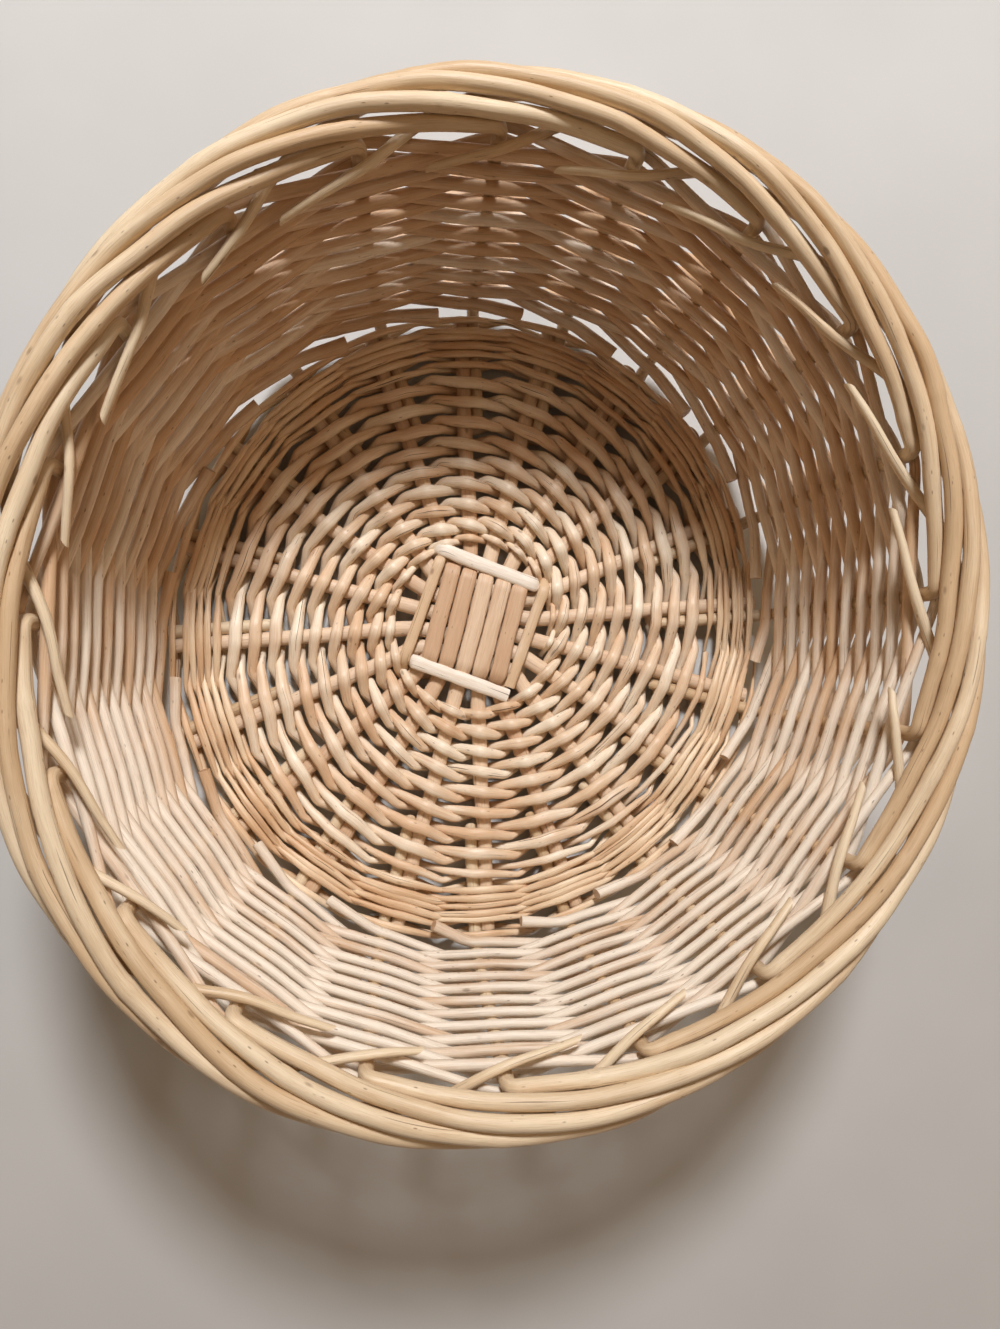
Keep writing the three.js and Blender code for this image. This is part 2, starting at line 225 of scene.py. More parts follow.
GRAIN_RANGE = 4000
PITH_SHARE = 0.3


class Piece:
    """One piece of the bowl: rods of willow, with what their grain, tone and cut ends follow."""

    def __init__(self, name, seed):
        self.name = name
        self.rng = np.random.default_rng(seed)
        self.points = []
        self.faces = []
        self.flat = []
        self.grain = []
        self.tone = []
        self.cut = []
        self.count = 0

    def add_points(self, points, grain, tone, cut):
        """Points with their grain coordinates, tone and cut; gives the number of the first."""
        self.points.append(points)
        self.grain.append(grain)
        self.tone.append(np.broadcast_to(tone, len(points)))
        self.cut.append(np.full(len(points), cut))
        first = self.count
        self.count += len(points)
        return first

    def rod(
        self, path, half_height, half_width, tone, sides, square=2.0, level=False, slants=(0, 0)
    ):
        """A rod along a path. Its half sizes and its tone are single values or run along it,
        square over 2 flattens its faces, and slants tilts the cuts at its two ends."""
        number = len(path)
        half_height = np.broadcast_to(half_height, number)
        half_width = np.broadcast_to(half_width, number)
        tangent, upright, side = axes_of(path, level)
        turn = np.arange(sides) / sides * 2 * math.pi
        reach = np.abs(np.cos(turn)) ** square + np.abs(np.sin(turn)) ** square
        reach = reach ** (-1 / square)
        up = half_height[:, None] * (np.cos(turn) * reach)[None]
        across = half_width[:, None] * (np.sin(turn) * reach)[None]
        rings = path[:, None] + up[..., None] * upright[:, None] + across[..., None] * side[:, None]
        rings[0] -= tangent[0] * (slants[0] * up[0])[:, None]
        rings[-1] += tangent[-1] * (slants[1] * up[-1])[:, None]
        along = lengths(path) + self.rng.uniform(0, GRAIN_RANGE)
        grain = np.stack([up, across, np.broadcast_to(along[:, None], up.shape)], axis=-1)
        tones = np.repeat(np.broadcast_to(tone, number), sides)
        first = self.add_points(rings.reshape(-1, 3), grain.reshape(-1, 3), tones, 0.0)
        ring_starts = np.arange(number - 1)[:, None] * sides
        here = (ring_starts + np.arange(sides)[None]).reshape(-1)
        beside = (ring_starts + (np.arange(sides)[None] + 1) % sides).reshape(-1)
        quads = np.stack([here, beside, beside + sides, here + sides], axis=1) + first
        self.faces.extend(quads.tolist())
        self.flat.extend([False] * len(quads))
        self.end(rings[0], grain[0], tones[0], reverse=True)
        self.end(rings[-1], grain[-1], tones[-1], reverse=False)

    def end(self, ring, grain, tone, reverse):
        """The flat cut end of a rod, with a ring for its pith."""
        middle = ring.mean(axis=0)
        grain_middle = grain.mean(axis=0)
        inner = middle + (ring - middle) * PITH_SHARE
        grain_inner = grain_middle + (grain - grain_middle) * PITH_SHARE
        points = np.vstack([ring, inner, middle[None]])
        grains = np.vstack([grain, grain_inner, grain_middle[None]])
        first = self.add_points(points, grains, tone, 1.0)
        sides = len(ring)
        for index in range(sides):
            after = (index + 1) % sides
            outer = [first + index, first + after, first + sides + after, first + sides + index]
            core = [first + sides + index, first + sides + after, first + 2 * sides]
            for face in (outer, core):
                self.faces.append(face[::-1] if reverse else face)
                self.flat.append(True)

    def make(self, material, node):
        """The piece as an object on the root body, in place of its CAD node."""
        points = np.vstack(self.points) * METRES
        mesh = bpy.data.meshes.new(self.name)
        mesh.from_pydata(points.tolist(), [], self.faces)
        mesh.polygons.foreach_set("use_smooth", [not flat for flat in self.flat])
        grain = mesh.attributes.new("grain", "FLOAT_VECTOR", "POINT")
        grain.data.foreach_set("vector", np.vstack(self.grain).astype(np.float32).reshape(-1))
        for name, values in (("tone", self.tone), ("cut", self.cut)):
            attribute = mesh.attributes.new(name, "FLOAT", "POINT")
            attribute.data.foreach_set("value", np.concatenate(values).astype(np.float32))
        mesh.materials.append(material)
        mesh.update()
        shown = bpy.data.objects.new(self.name, mesh)
        bpy.context.scene.collection.objects.link(shown)
        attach(shown, "root")
        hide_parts(node)


# Materials


def linear(colour):
    """A display colour from 0 to 255 as the scene-linear colour that shaders take (sRGB)."""
    shares = [channel / 255 for channel in colour]
    shares = [c / 12.92 if c <= 0.04045 else ((c + 0.055) / 1.055) ** 2.4 for c in shares]
    return (*shares, 1.0)


class Nodes:
    """A short way to write a material's node tree."""

    def __init__(self, name):
        self.material = bpy.data.materials.new(name)
        self.material.use_nodes = True
        self.tree = self.material.node_tree
        self.shader = self.tree.nodes["Principled BSDF"]

    def add(self, kind, **settings):
        node = self.tree.nodes.new(kind)
        for key, value in settings.items():
            setattr(node, key, value)
        return node

    def feed(self, socket, value):
        if isinstance(value, bpy.types.NodeSocket):
            self.tree.links.new(value, socket)
        else:
            socket.default_value = value

    def attribute(self, name, output):
        return self.add("ShaderNodeAttribute", attribute_name=name).outputs[output]

    def stretched(self, vector, scale):
        node = self.add("ShaderNodeVectorMath", operation="MULTIPLY")
        self.feed(node.inputs[0], vector)
        node.inputs[1].default_value = scale
        return node.outputs[0]

    def noise(self, vector, scale, detail, roughness):
        node = self.add("ShaderNodeTexNoise")
        self.feed(node.inputs["Vector"], self.stretched(vector, scale))
        node.inputs["Scale"].default_value = 1.0
        node.inputs["Detail"].default_value = detail
        node.inputs["Roughness"].default_value = roughness
        return node.outputs["Fac"]

    def spots(self, vector, scale, edge, picked):
        """Scattered spots: a cell has one only where its random tint is high enough."""
        node = self.add("ShaderNodeTexVoronoi")
        self.feed(node.inputs["Vector"], self.stretched(vector, scale))
        node.inputs["Scale"].default_value = 1.0
        spot = self.ramp(node.outputs["Distance"], *edge, start=1.0, end=0.0)
        return self.times(spot, self.ramp(node.outputs["Color"], *picked))

    def ramp(self, value, low, high, start=0.0, end=1.0):
        node = self.add("ShaderNodeMapRange", interpolation_type="SMOOTHSTEP")
        self.feed(node.inputs["Value"], value)
        node.inputs["From Min"].default_value = low
        node.inputs["From Max"].default_value = high
        node.inputs["To Min"].default_value = start
        node.inputs["To Max"].default_value = end
        return node.outputs["Result"]

    def math(self, operation, first, second):
        node = self.add("ShaderNodeMath", operation=operation)
        self.feed(node.inputs[0], first)
        self.feed(node.inputs[1], second)
        return node.outputs[0]

    def times(self, first, second):
        return self.math("MULTIPLY", first, second)

    def plus(self, first, second):
        return self.math("ADD", first, second)

    def minus(self, first, second):
        return self.math("SUBTRACT", first, second)

    def mix(self, share, first, second):
        node = self.add("ShaderNodeMix", data_type="RGBA")
        self.feed(node.inputs["Factor"], share)
        self.feed(node.inputs[6], first)
        self.feed(node.inputs[7], second)
        return node.outputs[2]


# Patterns of the willow, in waves or cells per millimetre, twice across a rod and then along it
STREAKS = (0.75, 0.75, 0.022)
FIBRES = (3.4, 3.4, 0.09)
BLOTCHES = (0.14, 0.14, 0.03)
BROWNING = (0.25, 0.25, 0.012)
SPECKS = (0.42, 0.42, 0.13)
KNOTS = (0.11, 0.11, 0.05)
CRACKS = (1.5, 1.5, 0.014)

SPECK_COLOUR = (92, 58, 34)
KNOT_COLOUR = (104, 66, 38)
CRACK_COLOUR = (84, 52, 32)
CUT_COLOUR = (168, 126, 86)
SPECULAR_LEVEL = 0.38
ROUGHNESS_CHANGES = (-0.07, 0.13)
BUMP_STRENGTH = 0.5
BUMP_HEIGHT = 0.5 * METRES

# Each willow: its pale, warm and dark colours, how strong its drying cracks are, and its roughness
WILLOWS = {
    "border": ((232, 212, 180), (206, 176, 138), (150, 106, 68), 0.6, 0.42),
    "wall": ((240, 228, 210), (209, 174, 137), (154, 106, 70), 0.5, 0.48),
    "base": ((250, 236, 212), (226, 192, 156), (164, 108, 68), 0.9, 0.32),
    "edge": ((246, 224, 192), (216, 178, 138), (146, 96, 60), 0.9, 0.4),
    "stick": ((234, 208, 178), (208, 172, 138), (160, 114, 80), 0.55, 0.46),
    "tie": ((248, 238, 222), (220, 190, 154), (170, 124, 86), 0.9, 0.38),
}


def willow(name, pale, warm, dark, cracks, rough):
    """Peeled willow: streaks and fibres along the rod, blotches, specks, knots and cracks."""
    n = Nodes(name)
    grain = n.attribute("grain", "Vector")
    tone = n.attribute("tone", "Fac")
    cut = n.attribute("cut", "Fac")
    streaks = n.noise(grain, STREAKS, detail=4.0, roughness=0.6)
    fibres = n.noise(grain, FIBRES, detail=3.0, roughness=0.65)
    blotches = n.noise(grain, BLOTCHES, detail=3.0, roughness=0.55)
    browning = n.noise(grain, BROWNING, detail=3.0, roughness=0.6)
    speck = n.spots(grain, SPECKS, edge=(0.05, 0.16), picked=(0.62, 0.7))
    knot = n.spots(grain, KNOTS, edge=(0.04, 0.14), picked=(0.55, 0.58))
    crack = n.noise(grain, CRACKS, detail=2.0, roughness=0.5)
    crack = n.times(n.ramp(crack, low=0.685, high=0.715), cracks)

    shade = n.plus(n.times(streaks, 0.55), n.times(blotches, 0.6))
    shade = n.plus(shade, n.minus(tone, 0.5))
    colour = n.mix(n.ramp(shade, low=0.3, high=0.85), linear(pale), linear(warm))
    colour = n.mix(n.ramp(fibres, low=0.42, high=0.78, end=0.35), colour, linear(dark))
    colour = n.mix(n.ramp(browning, low=0.62, high=0.8, end=0.55), colour, linear(dark))
    colour = n.mix(n.times(speck, 0.6), colour, linear(SPECK_COLOUR))
    colour = n.mix(n.times(knot, 0.5), colour, linear(KNOT_COLOUR))
    colour = n.mix(crack, colour, linear(CRACK_COLOUR))
    colour = n.mix(n.times(cut, 0.55), colour, linear(CUT_COLOUR))
    n.feed(n.shader.inputs["Base Color"], colour)

    smooth, dull = (rough + change for change in ROUGHNESS_CHANGES)
    roughness = n.ramp(streaks, low=0.25, high=0.75, start=smooth, end=dull)
    n.feed(n.shader.inputs["Roughness"], roughness)
    n.shader.inputs["Specular IOR Level"].default_value = SPECULAR_LEVEL

    height = n.plus(n.times(streaks, 0.6), n.times(fibres, 0.4))
    height = n.minus(height, n.times(crack, 0.8))
    height = n.minus(height, n.times(speck, 0.35))
    height = n.plus(height, n.times(knot, 0.8))
    bump = n.add("ShaderNodeBump")
    bump.inputs["Strength"].default_value = BUMP_STRENGTH
    bump.inputs["Distance"].default_value = BUMP_HEIGHT
    n.feed(bump.inputs["Height"], height)
    n.feed(n.shader.inputs["Normal"], bump.outputs["Normal"])
    return n.material


willows = {kind: willow(f"{kind}_willow", *look) for kind, look in WILLOWS.items()}

# Sticks of the base
STICK_SPACING = 4.0
STICK_SQUARE = 2.3
STICK_SIDES = 14
ARM_NEAR = 4.3
ARM_FAR = 3.9
ARM_OVERLAP = 4.0
ARM_TONE = -0.12
MIDDLE_STICK = (STICKS_PER_GROUP - 1) / 2
EYE_HALF = MIDDLE_STICK * STICK_PITCH * STRETCH_Y + STICK_WIDTH / 2 + CLEARANCE
BLOCK_HALF = EYE_HALF + EYE_WEDGE
ARM_START = EYE_HALF + EYE_WEDGE / 2
FAN_RADIUS = BASE_START_RADIUS - BASE_PITCH / 2
FAN_STRAIGHT_RADIUS = FAN_RADIUS * 1.4

# The two flat halves of a split stick, which close towards their ends
STRIP_HEIGHT = STICK_LEVEL - STICK_HEIGHT / 2 - CLEARANCE
STRIP_END = BLOCK_HALF + 1.0
STRIP_FALL_START = EYE_HALF - 3.0
STRIP_END_LEVEL = STICK_HEIGHT * 0.22
STRIP_TAPER = 0.16
STRIP_SQUARE = 4.5
STRIP_SIDES = 20
STRIP_POINTS = 41
STRIP_START = 100.0


def spoke_points(angle):
    """Points of a spoke, from where the sticks fan out to the edge of the base."""
    radii = (FAN_RADIUS, FAN_STRAIGHT_RADIUS, BASE_RADIUS)
    return [plan(angle, radius, 0, STICK_LEVEL) for radius in radii]


def arm_sizes(rng, along, share):
    """Half height and half width along a stick's arm, which narrows over a share of its length."""
    uneven = 1 + waver(rng, along, 40, 0.025) + buds(rng, along, 0.06)
    return STICK_HEIGHT / 2 * uneven, (ARM_NEAR + (ARM_FAR - ARM_NEAR) * share) * uneven


def pierced_stick(number):
    """A stick that is split in the middle: two strips over and under the others, and two arms."""
    place = number - MIDDLE_STICK
    piece = Piece(f"pierced_willow_{number + 1}", 100 + number)
    rng = piece.rng
    offset = place * STICK_PITCH * SQUEEZE_X
    tone = rng.uniform(0.35, 0.75)
    y = np.linspace(-STRIP_END, STRIP_END, STRIP_POINTS)
    fall = (np.abs(y) - STRIP_FALL_START) / (STRIP_END - STRIP_FALL_START)
    fall = np.clip(fall, 0, 1) ** 2
    level = (STICK_LEVEL - STRIP_HEIGHT / 2) * (1 - fall) + STRIP_END_LEVEL * fall
    along = y + STRIP_START
    for side in (1, -1):
        x = offset + waver(rng, along, 60, 0.25)
        path = np.stack([x, y, STICK_LEVEL + side * level], axis=1)
        wide = STICK_WIDTH / 2 * (1 + waver(rng, along, 45, 0.03)) * (1 - STRIP_TAPER * fall)
        sizes = (STRIP_HEIGHT / 2, wide)
        piece.rod(path, *sizes, tone, sides=STRIP_SIDES, square=STRIP_SQUARE, level=True)
    for side in (1, -1):
        inner = np.array([offset, side * (ARM_START - ARM_OVERLAP), STICK_LEVEL])
        path = curve([inner, *spoke_points(side * (math.pi / 2 - place * STEP))], STICK_SPACING)
        along = lengths(path)
        path[:, 0] += waver(rng, along, 90, 0.4)
        sizes = arm_sizes(rng, along, along / along[-1])
        arm_tone = tone + ARM_TONE + waver(rng, along, 120, 0.1)
        piece.rod(path, *sizes, arm_tone, sides=STICK_SIDES, square=STICK_SQUARE, level=True)
    piece.make(willows["stick"], f"pierced_stick_{number + 1}")


def through_stick(number):
    """A stick that runs through the split ones and turns to its two spoke directions beyond."""
    place = number - MIDDLE_STICK
    piece = Piece(f"through_willow_{number + 1}", 120 + number)
    rng = piece.rng
    offset = place * STICK_PITCH * STRETCH_Y
    middle = [np.array([x, offset, STICK_LEVEL]) for x in (-ARM_START, 0, ARM_START)]
    first = spoke_points(math.pi - place * STEP)[::-1]
    path = curve([*first, *middle, *spoke_points(place * STEP)], STICK_SPACING)
    along = lengths(path)
    path[:, 1] += waver(rng, along, 110, 0.35)
    sizes = arm_sizes(rng, along, np.abs(along / along[-1] - 0.5) * 2)
    tone = rng.uniform(0.25, 0.6) + waver(rng, along, 120, 0.1)
    piece.rod(path, *sizes, tone, sides=STICK_SIDES, square=STICK_SQUARE, level=True)
    piece.make(willows["stick"], f"through_stick_{number + 1}")


for stick in range(STICKS_PER_GROUP):
    pierced_stick(stick)
    through_stick(stick)

# Ties: two twigs that lie over two opposite bundles of sticks and under the other two
TIE_RADIUS = 1.9
TIE_DRIFT = TIE_RADIUS + 2 * CLEARANCE
TIE_DISTANCE = BLOCK_HALF / STRETCH_Y + TIE_DRIFT + 2 * CLEARANCE
TIE_HALF = TIE_DISTANCE * math.tan(MIDDLE_STICK * STEP) + ARM_WIDTH / 2 + TIE_DRIFT
TIE_HEIGHT = STICK_HEIGHT / 2 + CLEARANCE + TIE_RADIUS
TIE_ARCH = 0.9
TIE_SHARES = (-1.0, -0.6, 0.0, 0.6, 1.0)
TIE_THINNED = 0.12


def tie(letter, first_sign, seed, tint, flattened):
    """One tie. It is pressed flat where it lies over or under a bundle."""
    piece = Piece(f"slath_twig_{letter}", seed)
    points = []
    for side in range(4):
        sign = first_sign if side % 2 == 0 else -first_sign
        for share in TIE_SHARES:
            lift = TIE_HEIGHT + (TIE_ARCH if abs(share) < 1 else 0.0)
            distance = TIE_DISTANCE + sign * share * TIE_DRIFT
            z = STICK_LEVEL + sign * lift
            points.append(plan(side * math.pi / 2, distance, share * TIE_HALF, z))
    path = curve(points, 1.6)
    along = lengths(path)
    flat = np.clip(np.abs(path[:, 2] - STICK_LEVEL) / TIE_HEIGHT, 0, 1) ** 2
    half = TIE_RADIUS * (1 + waver(piece.rng, along, 30, 0.04))
    tone = tint + waver(piece.rng, along, 60, 0.15)
    sizes = (half * (1 - TIE_THINNED * flat), half * (1 + flattened * flat))
    piece.rod(path, *sizes, tone, sides=14, square=2.6, level=True)
    piece.make(willows["tie"], f"slath_tie_{letter}")


tie("a", 1, 140, tint=0.75, flattened=0.6)
tie("b", -1, 141, tint=0.2, flattened=1.0)

# Pairing: two strands that twist round each other between the sticks, on a widening spiral
ROD_OVER_STICK = 0.5
CROSSING_DRIFT = 0.1
MEETING_GAP = 0.01
FLARE_TURNS = 1.2
ROW_THINNED = 0.08
BASE_ROWS = {
    "first": 0,
    "lead": SPOKES,
    "lead_pitch": 5.5,
    "turns": BASE_TURNS,
    "start": BASE_START_RADIUS,
    "first_pitch": BASE_PITCH,
    "pitch": BASE_PITCH,
    "half": BASE_PITCH / 4 - 0.1,
    "narrow": 0.94,
    "spread": 1.32,
    "uneven": 0.07,
    "stray": 0.4,
    "flare": 0.0,
    "reach": 0.8,
    "bend": 2.2,
    "spacing": 1.2,
    "tip": 0.5,
    "tip_length": 900.0,
}
EDGE_ROWS = {
    "first": 1,
    "lead": 0,
    "lead_pitch": 0.0,
    "turns": EDGE_TURNS,
    "start": EDGE_RADIUS,
    "first_pitch": (BASE_PITCH + EDGE_PITCH) / 2,
    "pitch": EDGE_PITCH,
    "half": EDGE_PITCH / 4 + 0.4,
    "narrow": 1.0,
    "spread": 1.5,
    "uneven": 0.18,
    "stray": 1.0,
    "flare": 4.0,
    "reach": 1.2,
    "bend": 3.0,
    "spacing": 1.8,
    "tip": 0.4,
    "tip_length": 60.0,
}


def row_radius(rows, crossing):
    """Radius of a pair of strands at a crossing with a stick."""
    turn = crossing / SPOKES
    if turn < 0:
        return rows["start"] + rows["lead_pitch"] * turn
    radius = rows["start"] + rows["first_pitch"] * min(turn, 1) + rows["pitch"] * max(turn - 1, 0)
    return radius + rows["flare"] * max(turn - rows["turns"] + FLARE_TURNS, 0)


def pairing(name, node, seed, sign, rows, material):
    """One strand. It bends over or under each stick and passes its partner in between."""
    piece = Piece(name, seed)
    rng = piece.rng
    half_size = rows["half"]
    lift = STICK_HEIGHT / 2 + half_size + ROD_OVER_STICK
    first = rows["first"] - rows["lead"]
    last = rows["turns"] * SPOKES
    points = []
    for crossing in range(first, last + 1):
        level = sign if (crossing - rows["first"]) % 2 == 0 else -sign
        radius = row_radius(rows, crossing) + rng.uniform(-1, 1) * rows["stray"]
        drift = level * (rows["pitch"] if crossing >= 0 else rows["lead_pitch"]) / 4
        foot = STAKE_DIAMETER if radius + rows["pitch"] / 2 > FOOT_START_RADIUS else 0.0
        middle = (radius * STEP - foot) / 2 - MEETING_GAP
        angle = crossing * STEP
        z = STICK_LEVEL + level * lift
        start_z = STICK_LEVEL - (lift if crossing == first and level > 0 else 0.0)
        if crossing > first or level > 0:
            points.append(plan(angle, radius - drift, -foot - middle, start_z))
        points.append(plan(angle, radius - drift * CROSSING_DRIFT, -foot - rows["reach"], z))
        points.append(plan(angle, radius + drift * CROSSING_DRIFT, rows["reach"], z))
    if level > 0:
        points.append(plan(angle, radius + drift, middle, STICK_LEVEL - lift))
    path = rounded(points, rows["spacing"], rows["bend"])
    along = lengths(path)
    flat = np.clip(np.abs(path[:, 2] - STICK_LEVEL) / lift, 0, 1)
    uneven = 1 + waver(rng, along, 480, rows["uneven"]) + waver(rng, along, 90, rows["uneven"] / 2)
    uneven += buds(rng, along, 0.08)
    from_end = np.minimum(along, along[-1] - along)
    half = half_size * uneven * tapered(rows["tip"], from_end, rows["tip_length"])
    half_height = half * (1 - ROW_THINNED * flat)
    half_width = half * (rows["narrow"] + (rows["spread"] - rows["narrow"]) * flat)
    path[:, 2] = np.maximum(path[:, 2], half_height)
    tone = 0.5 + waver(rng, along, 420, 0.16) + waver(rng, along, 75, 0.12)
    piece.rod(path, half_height, half_width, tone, sides=10, square=2.2, level=True)
    piece.make(material, node)


for letter, sign, seed in (("a", 1, 160), ("b", -1, 161)):
    node = f"base_weaver_{letter}"
    pairing(f"base_strand_{letter}", node, seed, sign, BASE_ROWS, willows["base"])
    node = f"edge_weaver_{letter}"
    pairing(f"edge_strand_{letter}", node, seed + 10, sign, EDGE_ROWS, willows["edge"])

# Stakes: foot in the base, upright in the wall, then rolled into the border, with the tail inside
BEND_TURNS = np.radians([0, 30, 60, 90])
WALL_SHARES = (0.25, 0.5, 0.75, 1.0)
ROLL_LEAD = 6.0
ROLL_PHASES = np.concatenate([[0.03, 0.13], np.arange(0.5, ROLL_END_PHASE + 0.1, 0.5)])
UNDERPASS_PHASE = ROLL_END_PHASE + 0.4
UNDERPASS_OUT = BORDER_RADIUS * 0.1
TAIL_TUCK = 1.4
TAIL_LENGTHS = (0.45, 1.4)
TAIL_BEND = 0.6
TAIL_DROPS = (2.0, 4.0)
STAKE_LEVELS = [STICK_LEVEL, WALL_FOOT_Z, WALL_TOP_Z, BORDER_Z]
STAKE_THICKNESS = [1.0, 0.92, 0.92, 0.98]
STAKE_SQUEEZE = [1.0, 0.8, 0.8, 1.0]
STAKE_SIZES = (0.96, 1.05)
FREE_START = 190
FREE_BLEND = 60
TAIL_PALENESS_AND_LIGHT = 0.3
TAIL_FADE = 60
BROWN_STAKE = 0
BROWN_TONE = 0.35


def border(number, phase, out, up):
    """A point of a stake in the border, at a number of stakes from its own."""
    return plan((number + phase) * STEP, BORDER_MIDDLE + out, FOOT_OFFSET, BORDER_Z + up)


def stake(number):
    """A stake. It is squeezed where the weavers press on it, and thin and pale in its tail; the
    tail's paleness is partly a paler tone like the wall's rods and partly painted light that lifts
    the border's shadow on it.
    """
    piece = Piece(f"willow_stake_{number + 1:02d}", 200 + number)
    rng = piece.rng
    angle = number * STEP
    points = [
        plan(angle, FOOT_START_RADIUS, FOOT_OFFSET, STICK_LEVEL),
        plan(angle, (FOOT_START_RADIUS + BASE_RADIUS) / 2, FOOT_OFFSET, STICK_LEVEL),
    ]
    for turn in BEND_TURNS:
        radius = BASE_RADIUS + BEND_RADIUS * math.sin(turn)
        z = STICK_LEVEL + BEND_RADIUS * (1 - math.cos(turn))
        points.append(plan(angle, radius, FOOT_OFFSET, z))
    for share in WALL_SHARES:
        z = WALL_FOOT_Z + (WALL_TOP_Z - WALL_FOOT_Z) * share
        points.append(plan(angle, wall_radius(z), FOOT_OFFSET, z))
    points.append(plan(angle, WALL_TOP_RADIUS, FOOT_OFFSET, BORDER_Z - ROLL_LEAD))
    for phase in ROLL_PHASES:
        turn = ROLL_START - phase * BORDER_STEP
        out, up = BORDER_RADIUS * math.cos(turn), BORDER_RADIUS * math.sin(turn)
        points.append(border(number, phase, out, up))
    points.append(border(number, UNDERPASS_PHASE, UNDERPASS_OUT, -UNDERPASS_DROP))
    inside = INSIDE_RADIUS + TAIL_TUCK - BORDER_MIDDLE
    points.append(border(number, INSIDE_PHASE, inside, -UNDERPASS_DROP))
    out = TAIL_RADIUS + 3 * TAIL_TUCK - BORDER_MIDDLE
    tail = TAIL_PHASE * rng.uniform(*TAIL_LENGTHS)
    bend_drop, end_drop = (-UNDERPASS_DROP - drop for drop in TAIL_DROPS)
    points.append(border(number, INSIDE_PHASE + tail * TAIL_BEND, out, bend_drop))
    points.append(border(number, INSIDE_PHASE + tail, out - 0.6, end_drop))
    path = curve(points, 2.4)
    along = lengths(path)
    rest = along[-1] - along
    free = np.clip((along - FREE_START) / FREE_BLEND, 0, 1) * np.clip(rest / FREE_BLEND, 0, 1)
    path[:, 2] += waver(rng, along, 140, 0.9) * free
    path[:, 0] += waver(rng, along, 120, 0.6) * free
    path[:, 1] += waver(rng, along, 130, 0.6) * free
    half = STAKE_RADIUS * rng.uniform(*STAKE_SIZES)
    half = half * (1 + waver(rng, along, 70, 0.02) + buds(rng, along, 0.08))
    half *= np.interp(path[:, 2], STAKE_LEVELS, STAKE_THICKNESS)
    half *= tapered(0.8, along, 50) * tapered(0.6, rest, 330)
    tone = rng.uniform(0.25, 0.75) + waver(rng, along, 260, 0.14)
    # paler towards the tail: partly a paler tone like the wall's rods, partly painted light lifting
    # the border's shadow
    tone -= TAIL_PALENESS_AND_LIGHT * np.clip(1.4 - rest / TAIL_FADE, 0, 1)
    if number == BROWN_STAKE:
        tone += BROWN_TONE
    squeezed = half * np.interp(path[:, 2], STAKE_LEVELS, STAKE_SQUEEZE)
    slants = (0.8, rng.uniform(0.8, 1.6))
    piece.rod(path, squeezed, half, tone, sides=12, slants=slants)
    piece.make(willows["border"], f"stake_{number + 1:02d}")


# Wall weavers: one from each stake, in and out, a rod higher at each stake
TOUCH = 4.5
FLAT = 4.0
BUTT_LENGTH = 28.0
BUTT_INSET = 6.0
TIP_RISES = (5.0, 8.5)
TIP_RUNS = (26, 44)
WEAVER_SIZES = (0.91, 1.04)

# The wall is woven more tightly, of fuller rods, towards one side; the rods there are also browner,
# which is painted shade for the side of the wall that lies in shade
TIGHT_SHADED_SIDE = math.radians(104)
TIGHT_HEIGHT = 0.03
PAINTED_SHADE_TONE = 0.18
LOOSE_DEPTH = 0.97
TIGHT_DEPTH = 0.1


def wall_weaver(number):
    """A weaver that runs straight from the inside of one stake to the outside of the next."""
    piece = Piece(f"willow_weaver_{number + 1:02d}", 300 + number)
    rng = piece.rng
    butt_radius = WALL_FOOT_RADIUS - TOUCH - BUTT_INSET - rng.uniform(0, 6)
    butt = BUTT_LENGTH + rng.uniform(-5, 6)
    butt_z = WALL_FOOT_Z + rng.uniform(0, 3)
    points = [plan(number * STEP, butt_radius, FOOT_OFFSET - butt, butt_z)]
    for stroke in range(WEAVER_STROKES + 1):
        z = WALL_FOOT_Z + stroke * WEAVER_RISE
        radius = wall_radius(z) + (-TOUCH if stroke % 2 == 0 else TOUCH)
        angle = (number + stroke) * STEP
        slope = WEAVER_RISE / (radius * STEP)
        for across in (-FLAT, FLAT):
            points.append(plan(angle, radius, FOOT_OFFSET + across, z + slope * across))
    tip_radius = radius + TOUCH * 2
    for run, rise in zip((-FLAT, rng.uniform(*TIP_RUNS)), TIP_RISES):
        points.append(plan(angle + STEP, tip_radius, FOOT_OFFSET + run, z + rise))
    path = rounded(points, 2.2, 6.0)
    along = lengths(path)
    rest = along[-1] - along
    path[:, 2] += waver(rng, along, 150, 0.75)
    share = along / along[-1]
    half = WEAVER_DIAMETER / 2 * rng.uniform(*WEAVER_SIZES) * (1.02 - 0.06 * share)
    half *= 1 + waver(rng, along, 60, 0.02) + buds(rng, along, 0.09)
    half *= np.maximum(1.18 - along / 260, 1) * tapered(0.65, rest, 260)
    tone = rng.uniform(0.3, 0.66) + waver(rng, along, 300, 0.16)
    tightness_and_shade = np.cos(np.arctan2(path[:, 1], path[:, 0]) - TIGHT_SHADED_SIDE)
    half *= 1 + TIGHT_HEIGHT * tightness_and_shade
    # painted shade: the rods' tone grows browner towards the tight side, where the wall lies in
    # shade
    tone += PAINTED_SHADE_TONE * tightness_and_shade
    depth = half * (LOOSE_DEPTH + TIGHT_DEPTH * tightness_and_shade)
    slants = (rng.uniform(-0.4, 0.4), 0.6)
    piece.rod(path, half, depth, tone, sides=10, slants=slants)
    piece.make(willows["wall"], f"wall_weaver_{number + 1:02d}")


for spoke in range(SPOKES):
    stake(spoke)
    wall_weaver(spoke)

# Floor and backdrop, in metres
BACKDROP = (0.6, 0.6, 0.59, 1.0)
FLOOR_COLOURS = ((198, 198, 196), (204, 204, 202))
FLOOR_REACH = 6.0
FLOOR_DROP = 0.0005
FLOOR_FADE = (0.5, 1.7)


